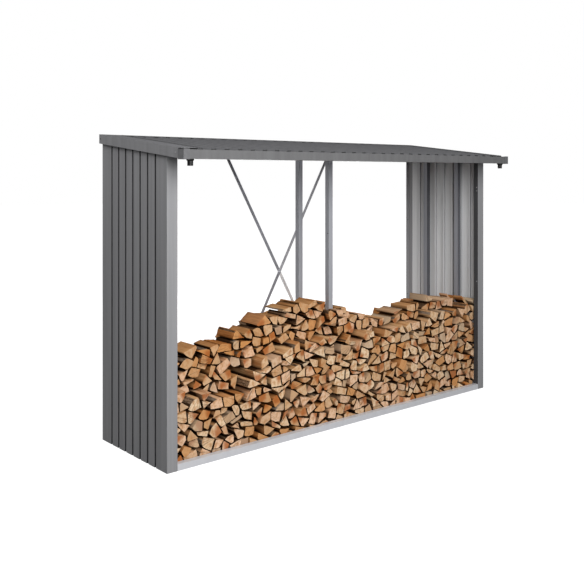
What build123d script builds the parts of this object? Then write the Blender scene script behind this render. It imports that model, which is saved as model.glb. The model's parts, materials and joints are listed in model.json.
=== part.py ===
from build123d import *
import math
import os
import random

# Log store: a sheet-metal shelter with two side walls, a lean-to roof that drains to a front
# gutter, open at the front and rear, filled with two rows of split firewood.
# Millimetres. X runs to the right, Y from the front to the rear, Z up from the ground.
# The origin is on the ground, in the middle of the plan.

# Overall sizes
OVERALL_WIDTH = 3020.0      # over the gutter's end caps
OVERALL_DEPTH = 1020.0      # from the gutter caps to the rear trim
OVERALL_HEIGHT = 1990.0     # top of the roof at the rear
ROOF_FALL = 117.0           # rear edge of the roof's top above its front, over the gutter's face
SIDE_OVERHANG = 23.0        # of the roof past the outside of a side wall
FRONT_OVERHANG = 215.7      # of the roof past the walls' front, to the gutter's face
SEAT_GAP = 0.3              # left between pieces that lie against each other
OVERRUN = 50.0              # by which a cutting shape runs past what it cuts

# Side walls: flat strips with narrow upright grooves
WALL_SHEET = 0.8
GROOVE_PITCH = 90.0
GROOVE_WIDTH = 16.0
GROOVE_DEPTH = 15.0
CORNER_STRIP = 100.0        # least width of the plain strip at a wall's front and rear edge

# Corner posts of folded sheet
POST_SHEET = 1.5
FRONT_FLANGE = 71.0
REAR_FLANGE = 38.0
POST_LEG = 40.0

# Frame of square tubes and channels
TUBE_SIZE = 38.0
TUBE_WALL = 1.5
TUBE_SPACING = 330.0        # between the front and rear uprights of each wall and of the middle
FOOT_SIZE = 58.0
FOOT_THICKNESS = 3.0
RAIL_HEIGHT = 40.0
RAIL_DEPTH = 38.0
RAIL_WALL = 2.0

# Roof of ribbed sheets
ROOF_SHEET = 0.8
ROOF_PANELS = 4
RIB_PITCH = 90.0
RIB_HEIGHT = 18.0
RIB_BASE = 36.0
RIB_TOP = 20.0
TRIM_SHEET = 1.0
TRIM_HEIGHT = 60.0
VERGE_FLANGE = 140.0        # over two ribs
REAR_TRIM_FLANGE = 45.0

# Gutter, its caps and its outlets
GUTTER_SHEET = 1.0
GUTTER_HEIGHT = 53.0
GUTTER_DEPTH = 58.0
GUTTER_SEAM = -50.0         # where the two halves meet
RIM_DROP = 4.0              # of the gutter's rim below the roof's top
SHEET_LAP = 52.0            # from the gutter's front face to the roof sheet's edge
CAP_PROUD = 3.0
CAP_LENGTH = 42.0
OUTLET_INSET = 64.0         # from the cap's outer face to the outlet's axis
OUTLET_FLANGE_DIAMETER = 46.0
OUTLET_FLANGE_THICKNESS = 5.0
OUTLET_DIAMETER = 33.0
OUTLET_LENGTH = 34.0

# Cross brace of two flat straps in the rear opening
STRAP_WIDTH = 24.0
STRAP_THICKNESS = 2.0
STRAP_END = 12.0            # past each end bolt
BRACE_HALF_SPAN = 541.0     # from the middle to an end bolt

# Firewood
LOG_WIDTH = 80.0            # between the middles of logs side by side
LOG_HEIGHT = 60.0           # between the middles of logs one above the other
LOG_SPREAD = 13.0           # most by which a middle lies off its even place
LOG_REACH_SHARE = 0.83      # of those two sizes, from a log's middle to its uncut corners
LOG_TILT = 32.0             # most by which a log is turned, in degrees
CORNER_SWING = 20.0         # most by which a corner lies off its even place round the log, in degrees
TRIANGLE_SHARE = 0.3        # of the logs with three corners
LEAST_LOG_SHARE = 0.3       # of an even log's area, below which none is laid
LEAST_SIDE = 5.0            # shortest side of a log's end
LOG_SIDE_GAP = 10.0         # widest gap between two logs side by side
STEEP_SHARE = 0.6           # of the way to upright, from which a side stands beside its neighbour
ROUNDED_SHARE = 0.5         # of the logs with rounded, barked corners
CORNER_SHARES = (0.24, 0.46)
CORNER_DEPTH_SHARE = 0.28
LOG_FACE_SPREAD = 24.0      # most by which an end lies behind the row's face
UPPER_SETBACK = 110.0       # of the front row's upper logs behind its lower ones
LOG_CLEARANCE = 4.0         # behind the front rail, and between the rows
LOG_REAR_SPACE = 51.4       # between the back row and the rear rail
LOG_POST_CLEARANCE = 12.0   # round the uprights
LEAST_LOG_LENGTH = 90.0     # of a short log in front of an upright
STACK_HEIGHT = 820.0        # of the stack beside the middle, which the rows' top lines are shares of
NODES_PER_ROW = 4
LOG_SEED = 50
FRONT_TOP_SHARES = (        # along the row, and of the stack's height, below which the ends line up
    (0.0, 0.52), (0.07, 0.51), (0.14, 0.46), (0.20, 0.49), (0.25, 0.66), (0.31, 0.70), (0.39, 0.78),
    (0.44, 0.74), (0.52, 0.71), (0.64, 0.72), (0.67, 0.77), (0.82, 0.81), (0.91, 0.86), (1.0, 0.87))
UPPER_TOP_SHARES = (        # of the front row's upper logs, which are set back
    (0.0, 0.75), (0.09, 0.81), (0.14, 0.84), (0.19, 0.85), (0.22, 0.91), (0.26, 0.93), (0.31, 1.0),
    (0.42, 1.04), (0.46, 1.0), (0.53, 0.95), (0.57, 0.87), (0.69, 0.86), (0.80, 0.89), (0.83, 0.94),
    (0.92, 0.95), (1.0, 0.90))
BACK_TOP_SHARES = (
    (0.0, 0.54), (0.09, 0.60), (0.17, 0.65), (0.26, 0.70), (0.29, 0.77), (0.37, 0.83), (0.42, 0.88),
    (0.50, 0.89), (0.57, 0.81), (0.65, 0.73), (0.76, 0.72), (0.89, 0.76), (0.91, 0.81), (1.0, 0.82))

# Places worked out from those sizes
roof_rear = OVERALL_DEPTH / 2
gutter_front = CAP_PROUD - OVERALL_DEPTH / 2
gutter_rear = gutter_front + GUTTER_DEPTH
eaves_height = OVERALL_HEIGHT - ROOF_FALL
rim_height = eaves_height - RIM_DROP
gutter_bottom = rim_height - GUTTER_HEIGHT
slope = ROOF_FALL / (roof_rear - gutter_front)
half_roof = OVERALL_WIDTH / 2 - CAP_PROUD
half_wall = half_roof - SIDE_OVERHANG
wall_rear = roof_rear - TRIM_SHEET - SEAT_GAP
wall_front = gutter_front + FRONT_OVERHANG
wall_middle = (wall_front + wall_rear) / 2

# Layers of the roof, measured down from its top
rib_drop = TRIM_SHEET + SEAT_GAP
pan_drop = rib_drop + RIB_HEIGHT
sheet_drop = pan_drop + ROOF_SHEET
rafter_drop = sheet_drop + SEAT_GAP
ceiling_drop = rafter_drop + TUBE_SIZE

# The frame's lines in plan
upright_ys = (wall_middle - TUBE_SPACING / 2, wall_middle + TUBE_SPACING / 2)
post_leg = half_wall - WALL_SHEET - SEAT_GAP
lining = half_wall - 2 * WALL_SHEET - GROOVE_DEPTH - SEAT_GAP
lining_inner = lining - TUBE_SIZE
brace_depth = 2 * (STRAP_THICKNESS + SEAT_GAP)
rear_rail_face = wall_rear - brace_depth
rear_rail_front = rear_rail_face - RAIL_DEPTH

# The rows of logs, from the front rail to the rear rail
front_row = wall_front + RAIL_DEPTH + LOG_CLEARANCE
log_length = (rear_rail_front - LOG_REAR_SPACE - LOG_CLEARANCE - front_row) / 2
back_row = front_row + log_length + LOG_CLEARANCE


def roof_top(y):
    """Height of the roof's top plane at a place along Y."""
    return eaves_height + slope * (y - gutter_front)


def filled(points):
    """Flat face inside a closed line through the points."""
    return make_face(Polyline(*points, close=True))


def upright(points, bottom, top):
    """Prism that stands on a plan outline."""
    face = filled([(x, y, bottom) for x, y in points])
    return extrude(face, top - bottom, dir=(0, 0, 1))


def crossways(points, left, right):
    """Prism along X with an outline of depth and height."""
    face = filled([(left, y, z) for y, z in points])
    return extrude(face, right - left, dir=(1, 0, 0))


def lengthways(points, front, rear):
    """Level prism along Y with an outline of width and height."""
    face = filled([(x, front, z) for x, z in points])
    return extrude(face, rear - front, dir=(0, 1, 0))


def along_roof(points, front, rear):
    """Prism that follows the roof's fall, with an outline of width and drop below the roof's top."""
    top = roof_top(front)
    face = filled([(x, front, top - drop) for x, drop in points])
    run = rear - front
    direction = Vector(0, run, slope * run)
    return extrude(face, direction.length, dir=direction)


def rectangle(low_a, low_b, high_a, high_b):
    """Corners of an upright rectangle in a section."""
    return [(low_a, low_b), (high_a, low_b), (high_a, high_b), (low_a, high_b)]


def trimmed_to_roof(solid, drop):
    """The solid without what reaches above a plane below the roof's top."""
    front = wall_front - OVERRUN
    rear = wall_rear + OVERRUN
    sky = OVERALL_HEIGHT + OVERRUN
    outline = [(front, roof_top(front) - drop), (rear, roof_top(rear) - drop), (rear, sky), (front, sky)]
    reach = OVERALL_WIDTH / 2 + OVERRUN
    return solid - crossways(outline, -reach, reach)


def mirrored(points, side):
    """Plan or section points moved to the left side when side is -1."""
    return [(side * a, b) for a, b in points]


def save(name, *solids):
    """Write one node."""
    shapes = []
    for shape in solids:
        shapes.extend(shape.solids())
    whole = shapes[0] if len(shapes) == 1 else Compound(children=shapes)
    export_step(whole, os.path.join("parts", name + ".step"))


# Base frame

def channel(outer, inner, wall, bottom, height):
    """Section of a rail: a web on the outer line with two flanges towards the inner line."""
    inward = math.copysign(wall, inner - outer)
    top = bottom + height
    return [
        (outer, bottom), (inner, bottom), (inner, bottom + wall), (outer + inward, bottom + wall),
        (outer + inward, top - wall), (inner, top - wall), (inner, top), (outer, top)]


def make_base():
    front_reach = half_wall - FRONT_FLANGE - SEAT_GAP
    front = channel(wall_front, wall_front + RAIL_DEPTH, RAIL_WALL, 0, RAIL_HEIGHT)
    save("base_front_rail", crossways(front, -front_reach, front_reach))
    rear_reach = post_leg - POST_SHEET - SEAT_GAP
    rear = channel(rear_rail_face, rear_rail_front, RAIL_WALL, 0, RAIL_HEIGHT)
    save("base_rear_rail", crossways(rear, -rear_reach, rear_reach))
    start = wall_front + POST_LEG + SEAT_GAP
    end = rear_rail_front - SEAT_GAP
    for name, side in (("left", -1), ("right", 1)):
        section = channel(side * lining, side * lining_inner, RAIL_WALL, 0, RAIL_HEIGHT)
        save(f"base_{name}_rail", lengthways(section, start, end))


# Side walls and their corner posts

def corner_section(flange, face, inward, lipped):
    """Plan of a corner post: a flange across the wall's end, a leg along the wall and perhaps a lip."""
    edge = half_wall - flange
    back = face + inward * POST_SHEET
    tip = face + inward * POST_LEG
    lip = [(edge, tip), (edge + POST_SHEET, tip), (edge + POST_SHEET, back)]
    plain = [(edge, back)]
    return [
        (half_wall, face), (edge, face), *(lip if lipped else plain), (post_leg - POST_SHEET, back),
        (post_leg - POST_SHEET, tip), (post_leg, tip), (post_leg, back), (half_wall, back)]


def wall_section(start, end, grooves):
    """Plan of a grooved sheet between two places along Y."""
    outside = half_wall
    inside = half_wall - WALL_SHEET
    outer = [(outside, start)]
    inner = [(inside, start)]
    for middle in grooves:
        for line, skin, half in (
                (outer, outside, GROOVE_WIDTH / 2),
                (inner, inside, GROOVE_WIDTH / 2 + WALL_SHEET)):
            line.append((skin, middle - half))
            line.append((skin - GROOVE_DEPTH, middle - half))
            line.append((skin - GROOVE_DEPTH, middle + half))
            line.append((skin, middle + half))
    outer.append((outside, end))
    inner.append((inside, end))
    return outer + inner[::-1]


def make_walls():
    beside = int(((wall_rear - wall_front) / 2 - CORNER_STRIP) / GROOVE_PITCH)
    grooves = [wall_middle + GROOVE_PITCH * step for step in range(-beside, beside + 1)]
    start = wall_front + POST_SHEET + SEAT_GAP
    end = wall_rear - POST_SHEET - SEAT_GAP
    seam = wall_middle + GROOVE_WIDTH / 2 + 2 * WALL_SHEET
    panels = (
        ("front", start, seam, [y for y in grooves if y < seam]),
        ("rear", seam + SEAT_GAP, end, [y for y in grooves if y > seam]))
    rear_top = rear_rail_bottom() - SEAT_GAP
    for name, side in (("left", -1), ("right", 1)):
        for place, first, last, panel_grooves in panels:
            section = mirrored(wall_section(first, last, panel_grooves), side)
            sheet = trimmed_to_roof(upright(section, 0, OVERALL_HEIGHT), sheet_drop + SEAT_GAP)
            save(f"{name}_wall_{place}_panel", sheet)
        section = mirrored(corner_section(FRONT_FLANGE, wall_front, 1, True), side)
        post = trimmed_to_roof(upright(section, 0, OVERALL_HEIGHT), ceiling_drop + SEAT_GAP)
        save(f"{name}_front_post", post)
        section = mirrored(corner_section(REAR_FLANGE, wall_rear, -1, False), side)
        save(f"{name}_rear_post", upright(section, 0, rear_top))


# Uprights, rafters and rails

def rear_rail_bottom():
    """Underside of the level rail under the roof's rear edge."""
    return roof_top(rear_rail_front) - rafter_drop - TUBE_SIZE


def stud(side, middle):
    """Channel that stands against a wall's grooves, its open side to the wall."""
    front = middle - TUBE_SIZE / 2
    rear = middle + TUBE_SIZE / 2
    section = [
        (lining, front), (lining_inner, front), (lining_inner, rear), (lining, rear),
        (lining, rear - TUBE_WALL), (lining_inner + TUBE_WALL, rear - TUBE_WALL),
        (lining_inner + TUBE_WALL, front + TUBE_WALL), (lining, front + TUBE_WALL)]
    solid = upright(mirrored(section, side), RAIL_HEIGHT + SEAT_GAP, OVERALL_HEIGHT)
    return trimmed_to_roof(solid, ceiling_drop + SEAT_GAP)


def centre_post(middle):
    """Square tube on a foot plate."""
    half = TUBE_SIZE / 2
    bore = half - TUBE_WALL
    foot = FOOT_SIZE / 2
    tube = upright(rectangle(-half, middle - half, half, middle + half), FOOT_THICKNESS, OVERALL_HEIGHT)
    tube -= upright(rectangle(-bore, middle - bore, bore, middle + bore), FOOT_THICKNESS, OVERALL_HEIGHT)
    plate = upright(rectangle(-foot, middle - foot, foot, middle + foot), 0, FOOT_THICKNESS)
    return trimmed_to_roof(tube + plate, ceiling_drop + SEAT_GAP)


def rafter(left, right):
    """Square tube from the gutter to the rear rail."""
    front = gutter_rear + SEAT_GAP
    rear = rear_rail_front - SEAT_GAP
    tube = along_roof(rectangle(left, rafter_drop, right, ceiling_drop), front, rear)
    bore = rectangle(left + TUBE_WALL, rafter_drop + TUBE_WALL, right - TUBE_WALL, ceiling_drop - TUBE_WALL)
    return tube - along_roof(bore, front, rear)


def make_frame():
    for name, side in (("left", -1), ("right", 1)):
        save(f"{name}_wall_studs", *[stud(side, y) for y in upright_ys])
        edges = sorted((side * lining, side * lining_inner))
        save(f"{name}_rafter", rafter(*edges))
    for name, y in zip(("front", "rear"), upright_ys):
        save(f"centre_{name}_post", centre_post(y))
    half = TUBE_SIZE / 2
    save("centre_rafter", rafter(-half, half))
    reach = half_wall - WALL_SHEET - SEAT_GAP
    section = channel(rear_rail_face, rear_rail_front, RAIL_WALL, rear_rail_bottom(), TUBE_SIZE)
    save("rear_top_rail", crossways(section, -reach, reach))
    back = wall_front + RAIL_DEPTH
    bottom = roof_top(back) - ceiling_drop
    height = roof_top(wall_front) - rafter_drop - bottom
    section = channel(wall_front, back, RAIL_WALL, bottom, height)
    near = half + SEAT_GAP
    far = lining_inner - SEAT_GAP
    save("front_purlins", crossways(section, -far, -near), crossways(section, near, far))


# Roof sheets and trims

def roof_section(left, right):
    """Ribbed sheet between two places along X, as width and drop."""
    ribs = round((right - left) / RIB_PITCH)
    pitch = (right - left) / ribs
    top = [(left, pan_drop)]
    for rib in range(ribs):
        middle = left + pitch * (rib + 1 / 2)
        top.append((middle - RIB_BASE / 2, pan_drop))
        top.append((middle - RIB_TOP / 2, rib_drop))
        top.append((middle + RIB_TOP / 2, rib_drop))
        top.append((middle + RIB_BASE / 2, pan_drop))
    top.append((right, pan_drop))
    return top + [(x, drop + ROOF_SHEET) for x, drop in reversed(top)]


def make_roof():
    edge = half_roof - TRIM_SHEET - SEAT_GAP
    width = 2 * edge / ROOF_PANELS
    front = gutter_front + SHEET_LAP
    rear = roof_rear - TRIM_SHEET - SEAT_GAP
    for panel in range(ROOF_PANELS):
        left = panel * width - edge
        section = roof_section(left, left + width - SEAT_GAP)
        save(f"roof_panel_{panel + 1}", along_roof(section, front, rear))
    inner = half_roof - TRIM_SHEET
    verge = [
        (half_roof, 0), (half_roof, TRIM_HEIGHT), (half_wall + SEAT_GAP, TRIM_HEIGHT),
        (half_wall + SEAT_GAP, TRIM_HEIGHT - TRIM_SHEET), (inner, TRIM_HEIGHT - TRIM_SHEET),
        (inner, TRIM_SHEET), (half_roof - VERGE_FLANGE, TRIM_SHEET), (half_roof - VERGE_FLANGE, 0)]
    for name, side in (("left", -1), ("right", 1)):
        save(f"{name}_verge_trim", along_roof(mirrored(verge, side), gutter_rear + SEAT_GAP, roof_rear))
    lap = roof_rear - REAR_TRIM_FLANGE
    inside = roof_rear - TRIM_SHEET
    section = [
        (roof_rear, OVERALL_HEIGHT), (roof_rear, OVERALL_HEIGHT - TRIM_HEIGHT),
        (inside, OVERALL_HEIGHT - TRIM_HEIGHT), (inside, roof_top(inside) - TRIM_SHEET),
        (lap, roof_top(lap) - TRIM_SHEET), (lap, roof_top(lap))]
    reach = half_roof - VERGE_FLANGE - SEAT_GAP
    save("rear_trim", crossways(section, -reach, reach))


# Gutter

def gutter(left, right):
    """Open trough between two places along X."""
    front = gutter_front + GUTTER_SHEET
    rear = gutter_rear - GUTTER_SHEET
    floor = gutter_bottom + GUTTER_SHEET
    back_top = roof_top(rear) - sheet_drop - SEAT_GAP
    section = [
        (gutter_front, gutter_bottom), (gutter_rear, gutter_bottom), (gutter_rear, back_top),
        (rear, back_top), (rear, floor), (front, floor), (front, rim_height), (gutter_front, rim_height)]
    return crossways(section, left, right)


def gutter_cap(side):
    """Shell over the gutter's end: a front, a bottom and an end wall."""
    outer = half_roof + CAP_PROUD
    inner = outer - CAP_LENGTH
    front = gutter_front - CAP_PROUD
    bottom = gutter_bottom - CAP_PROUD
    top = rim_height + CAP_PROUD
    block = upright(rectangle(inner, front, outer, gutter_rear), bottom, top)
    hollow = rectangle(
        inner - OVERRUN, gutter_front - SEAT_GAP, half_roof + SEAT_GAP, gutter_rear + OVERRUN)
    shell = block - upright(hollow, gutter_bottom - SEAT_GAP, top + OVERRUN)
    return shell if side > 0 else mirror(shell, about=Plane.YZ)


def outlet(side):
    """Flanged spout under the gutter's floor."""
    x = side * (OVERALL_WIDTH / 2 - OUTLET_INSET)
    y = (gutter_front + gutter_rear) / 2
    seat = gutter_bottom - SEAT_GAP
    flange_bottom = seat - OUTLET_FLANGE_THICKNESS
    flange = Pos(x, y, flange_bottom) * Cylinder(
        OUTLET_FLANGE_DIAMETER / 2, OUTLET_FLANGE_THICKNESS, align=(Align.CENTER, Align.CENTER, Align.MIN))
    spout = Pos(x, y, flange_bottom) * Cylinder(
        OUTLET_DIAMETER / 2, OUTLET_LENGTH, align=(Align.CENTER, Align.CENTER, Align.MAX))
    return flange + spout


def make_gutter():
    save("left_gutter", gutter(-half_roof, GUTTER_SEAM))
    save("right_gutter", gutter(GUTTER_SEAM + SEAT_GAP, half_roof))
    for name, side in (("left", -1), ("right", 1)):
        save(f"{name}_gutter_cap", gutter_cap(side))
        save(f"{name}_outlet", outlet(side))


# Cross brace

def bolt_places(rise):
    """Lower and upper end bolt of a strap, which rises to the right when rise is 1."""
    low = RAIL_HEIGHT / 2
    high = rear_rail_bottom() + TUBE_SIZE / 2
    return Vector(-rise * BRACE_HALF_SPAN, 0, low), Vector(rise * BRACE_HALF_SPAN, 0, high)


def flat_bar(first, last, along, front, rear):
    """Piece of a strap from just before one bolt to just past another."""
    across = Vector(-along.Z, 0, along.X) * (STRAP_WIDTH / 2)
    start = first - along * STRAP_END
    end = last + along * STRAP_END
    corners = (start - across, end - across, end + across, start + across)
    return lengthways([(point.X, point.Z) for point in corners], front, rear)


def make_brace():
    seat = rear_rail_face + SEAT_GAP
    inner_face = seat + STRAP_THICKNESS
    outer_seat = inner_face + SEAT_GAP
    foot, head = bolt_places(1)
    along = (head - foot).normalized()
    save("brace_inner_strap", flat_bar(foot, head, along, seat, inner_face))
    foot, head = bolt_places(-1)
    along = (head - foot).normalized()
    bar = flat_bar(foot, head, along, outer_seat, outer_seat + STRAP_THICKNESS)
    for bolt in (foot, head):
        bar += flat_bar(bolt, bolt, along, seat, outer_seat)
    save("brace_outer_strap", bar)


# Firewood

def row_top(x, top_shares):
    """Height of a row's top line at a place along X."""
    share = (x + lining) / (2 * lining)
    for (start, low), (end, high) in zip(top_shares, top_shares[1:]):
        if start <= share <= end:
            return STACK_HEIGHT * (low + (high - low) * (share - start) / (end - start))
    return 0


def area(outline):
    """Area inside an outline."""
    return sum(a[0] * b[1] - b[0] * a[1] for a, b in zip(outline, outline[1:] + outline[:1])) / 2


def middle_of(outline):
    """Mean of the corners."""
    return tuple(sum(point[k] for point in outline) / len(outline) for k in (0, 1))


def cut_off(outline, normal, distance):
    """The part of a convex outline that lies at or past a distance along a normal."""
    depths = [normal[0] * x + normal[1] * z - distance for x, z in outline]
    kept = []
    for n, point in enumerate(outline):
        if depths[n - 1] * depths[n] < 0:
            before = outline[n - 1]
            share = depths[n - 1] / (depths[n - 1] - depths[n])
            kept.append(tuple(before[k] + (point[k] - before[k]) * share for k in (0, 1)))
        if depths[n] >= 0:
            kept.append(point)
    return kept


def cleared(outline, other, rng):
    """The outline cut back from another along the side of it that costs the least."""
    best = []
    lifted = min(z for _, z in outline) > 0
    for start, end in zip(other, other[1:] + other[:1]):
        length = math.dist(start, end)
        normal = ((end[1] - start[1]) / length, (start[0] - end[0]) / length)
        beside = abs(normal[0]) > STEEP_SHARE
        gap = rng.uniform(SEAT_GAP, LOG_SIDE_GAP) if lifted and beside else SEAT_GAP
        rest = cut_off(outline, normal, normal[0] * start[0] + normal[1] * start[1] + gap)
        if len(rest) > 2 and (not best or area(rest) > area(best)):
            best = rest
    return best


def wedge(x, z, rng):
    """Uncut end outline of a split log, with three or four corners on an oval."""
    corners = 3 if rng.random() < TRIANGLE_SHARE else 4
    flip = rng.choice((0, math.pi))
    tilt = math.radians(rng.uniform(-LOG_TILT, LOG_TILT))
    outline = []
    for corner in range(corners):
        swing = math.radians(rng.uniform(-CORNER_SWING, CORNER_SWING))
        turn = 2 * math.pi * (corner + 1 / 2) / corners + math.pi / 2 + flip + swing
        across = LOG_REACH_SHARE * LOG_WIDTH * math.cos(turn)
        up = LOG_REACH_SHARE * LOG_HEIGHT * math.sin(turn)
        outline.append((
            x + across * math.cos(tilt) - up * math.sin(tilt),
            z + across * math.sin(tilt) + up * math.cos(tilt)))
    return outline


def trimmed(outline, others, rng):
    """The outline cut back from the ground, the walls and the other outlines."""
    outline = cut_off(outline, (0, 1), 0)
    for side in (-1, 1):
        outline = cut_off(outline, (side, 0), SEAT_GAP - lining)
    for other in others:
        if outline:
            outline = cleared(outline, other, rng)
    return [point for n, point in enumerate(outline) if math.dist(point, outline[n - 1]) > LEAST_SIDE]


def rounded(outline, rng):
    """The outline with some of its corners cut to a round."""
    if rng.random() > ROUNDED_SHARE:
        return outline
    first = rng.randrange(len(outline))
    corners = {first, (first + rng.randint(0, 1)) % len(outline)}
    points = []
    for n, point in enumerate(outline):
        if n not in corners:
            points.append(point)
            continue
        share = rng.uniform(*CORNER_SHARES)
        to_before = [(outline[n - 1][k] - point[k]) * share for k in (0, 1)]
        to_after = [(outline[(n + 1) % len(outline)][k] - point[k]) * share for k in (0, 1)]
        points.append((point[0] + to_before[0], point[1] + to_before[1]))
        points.append(tuple(point[k] + CORNER_DEPTH_SHARE * (to_before[k] + to_after[k]) for k in (0, 1)))
        points.append((point[0] + to_after[0], point[1] + to_after[1]))
    return points


def height_at(outline, x, pick):
    """Lowest or highest height of an outline at a place along X that it covers."""
    heights = []
    for (start, low), (end, high) in zip(outline, outline[1:] + outline[:1]):
        if min(start, end) <= x <= max(start, end):
            heights.append(low if start == end else low + (high - low) * (x - start) / (end - start))
    return pick(heights)


def dropped(outline, others):
    """The outline lowered until it rests on the ground or on another."""
    room = min(z for _, z in outline)
    for other in others:
        left = max(min(outline)[0], min(other)[0])
        right = min(max(outline)[0], max(other)[0])
        middle = (left + right) / 2
        if left >= right or height_at(outline, middle, min) < height_at(other, middle, max):
            continue
        places = [x for x, _ in outline + other if left <= x <= right]
        space = min(height_at(outline, x, min) - height_at(other, x, max) for x in places)
        room = min(room, space - SEAT_GAP)
    return [(x, z - room) for x, z in outline]


def log_outlines(top_shares, rng):
    """End outlines of the logs in one row, laid from the ground up to the row's top line."""
    columns = round(2 * lining / LOG_WIDTH)
    step = 2 * lining / columns
    rail = rectangle(lining_inner, 0, lining, RAIL_HEIGHT)
    rails = [rail, mirrored(rail, -1)[::-1]]
    laid = []
    for level in range(math.ceil(STACK_HEIGHT / LOG_HEIGHT)):
        for column in range(columns):
            x = step * (column + (1 + level % 2) / 3) - lining + rng.uniform(-LOG_SPREAD, LOG_SPREAD)
            z = LOG_HEIGHT * (level + 1 / 2) + rng.uniform(-LOG_SPREAD, LOG_SPREAD)
            if z + LOG_HEIGHT / 2 > row_top(x, top_shares):
                continue
            near = [other for other in rails + laid if math.dist(middle_of(other), (x, z)) < 2 * LOG_WIDTH]
            outline = trimmed(wedge(x, z, rng), near, rng)
            if len(outline) > 2 and area(outline) > LEAST_LOG_SHARE * LOG_WIDTH * LOG_HEIGHT:
                laid.append(dropped(rounded(outline, rng), near))
    return laid


def make_row(name, front, upright_y, top_shares, upper_shares, rng):
    """One row of logs with its ends at the front, in nodes from left to right."""
    clear = TUBE_SIZE / 2 + LOG_POST_CLEARANCE
    nodes = [[] for _ in range(NODES_PER_ROW)]
    for outline in log_outlines(upper_shares, rng):
        x, z = middle_of(outline)
        face = front + rng.uniform(0, LOG_FACE_SPREAD)
        if z + LOG_HEIGHT / 2 > row_top(x, top_shares) + LOG_SPREAD:
            face += UPPER_SETBACK
        tail = front + log_length - rng.uniform(0, LOG_FACE_SPREAD)
        spans = [(face, tail)]
        left = min(outline)[0]
        right = max(outline)[0]
        if (left < clear and right > -clear) or max(-left, right) > lining_inner - LOG_POST_CLEARANCE:
            face = max(front, min(face, upright_y - clear - LEAST_LOG_LENGTH))
            spans = [(face, upright_y - clear), (upright_y + clear, tail)]
        node = nodes[int((x + lining) / (2 * lining) * NODES_PER_ROW)]
        node.extend(lengthways(outline, start, end) for start, end in spans)
    for number, logs in enumerate(nodes):
        save(f"{name}_{number + 1}", *logs)
    return sum(len(logs) for logs in nodes)


def make_firewood():
    rng = random.Random(LOG_SEED)
    count = make_row("front_logs", front_row, upright_ys[0], FRONT_TOP_SHARES, UPPER_TOP_SHARES, rng)
    count += make_row("back_logs", back_row, upright_ys[1], BACK_TOP_SHARES, BACK_TOP_SHARES, rng)
    print("logs", count)


os.makedirs("parts", exist_ok=True)
make_base()
make_walls()
make_frame()
make_roof()
make_gutter()
make_brace()
make_firewood()
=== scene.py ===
import json
import math
import random

import bpy
import numpy as np
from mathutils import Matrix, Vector


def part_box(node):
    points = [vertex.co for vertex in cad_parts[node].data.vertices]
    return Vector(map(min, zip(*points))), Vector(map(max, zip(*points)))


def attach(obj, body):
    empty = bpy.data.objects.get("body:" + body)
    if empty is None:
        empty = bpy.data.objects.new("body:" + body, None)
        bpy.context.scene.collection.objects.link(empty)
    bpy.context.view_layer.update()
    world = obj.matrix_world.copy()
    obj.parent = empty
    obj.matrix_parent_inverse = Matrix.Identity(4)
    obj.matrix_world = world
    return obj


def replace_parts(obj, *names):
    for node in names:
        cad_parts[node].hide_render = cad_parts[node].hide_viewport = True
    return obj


# Looks of the log store: finishes of its sheet metal, its small fixings, and split firewood with
# sawn ends, torn faces and bark. Metres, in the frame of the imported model. Angles are in degrees.

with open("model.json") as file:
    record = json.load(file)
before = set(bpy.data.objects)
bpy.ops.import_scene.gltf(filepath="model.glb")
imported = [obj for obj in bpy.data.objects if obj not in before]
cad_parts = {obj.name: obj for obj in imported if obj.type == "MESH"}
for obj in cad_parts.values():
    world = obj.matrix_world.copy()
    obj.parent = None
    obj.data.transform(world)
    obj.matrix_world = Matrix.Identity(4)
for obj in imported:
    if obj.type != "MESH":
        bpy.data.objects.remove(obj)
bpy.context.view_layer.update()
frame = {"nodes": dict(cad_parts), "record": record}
nodes = frame["nodes"]
slots = {part["node"]: part["material_slot"] for part in frame["record"]["subparts"]}

MM = 0.001
SEED = 23
PLACE_DIGITS = 5
END_REACH = 1 * MM
SIDES = {"left": -1, "right": 1}

# Camera
PICTURE_SIZE = 584
FOCAL_PIXELS = 812.65
HORIZON_PIXEL = 174.94
SENSOR = 36.0
CAMERA_PLACE = (-3.944, -4.345, 1.7254)
CAMERA_HEADING = 40.0

# Stage
FLOOR_HALF = 40.0
FLOOR_DROP = 1 * MM
WORLD_STRENGTH = 0.34

# Paints: dark and light screen colours, how metallic each is, and its gloss
PAINTS = {
    "wall_paint": ((136, 136, 138), (152, 152, 154), 0.1, 0.25),
    "inside_paint": ((206, 207, 208), (224, 225, 226), 0.0, 0.1),
    # Painted shade: a paint darker than the inside paint, on the sides of the inner folds
    "fold_paint": ((150, 150, 152), (162, 162, 164), 0.0, 0.1),
    # Painted shade: dark paint in the walls' grooves and creases, on the front posts' inner lips and on the
    # verges' hems
    "groove_paint": ((60, 60, 62), (72, 72, 74), 0.1, 0.25),
    # Painted shade: the gutter's copy of the wall paint, made darker
    "gutter_paint": ((96, 96, 97), (108, 108, 109), 0.1, 0.25),
    "trim_paint": ((120, 120, 122), (132, 132, 134), 0.1, 0.25),
    "panel_paint": ((124, 124, 126), (139, 139, 141), 0.1, 0.25),
    "roof_paint": ((101, 101, 103), (110, 110, 112), 0.0, 0.0),
    # Painted shade: darker paint on the sides of the roof's ribs than on the roof
    "rib_flank_paint": ((92, 92, 94), (100, 100, 102), 0.0, 0.0)}

# Metals: dark and light screen colours, and how metallic each is
METALS = {
    "bare_metal": ((192, 194, 201), (214, 216, 223), 0.6),
    "stud_metal": ((156, 157, 164), (172, 173, 180), 0.4),
    # Painted shade: darker metal on the studs' sides that face the front and rear
    "stud_side_metal": ((84, 85, 90), (96, 97, 102), 0.2),
    # The base rails' own pale metal, made lighter and less metallic still as a painted reflection of the
    # floor
    "sill_metal": ((212, 213, 218), (224, 225, 229), 0.3)}

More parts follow.
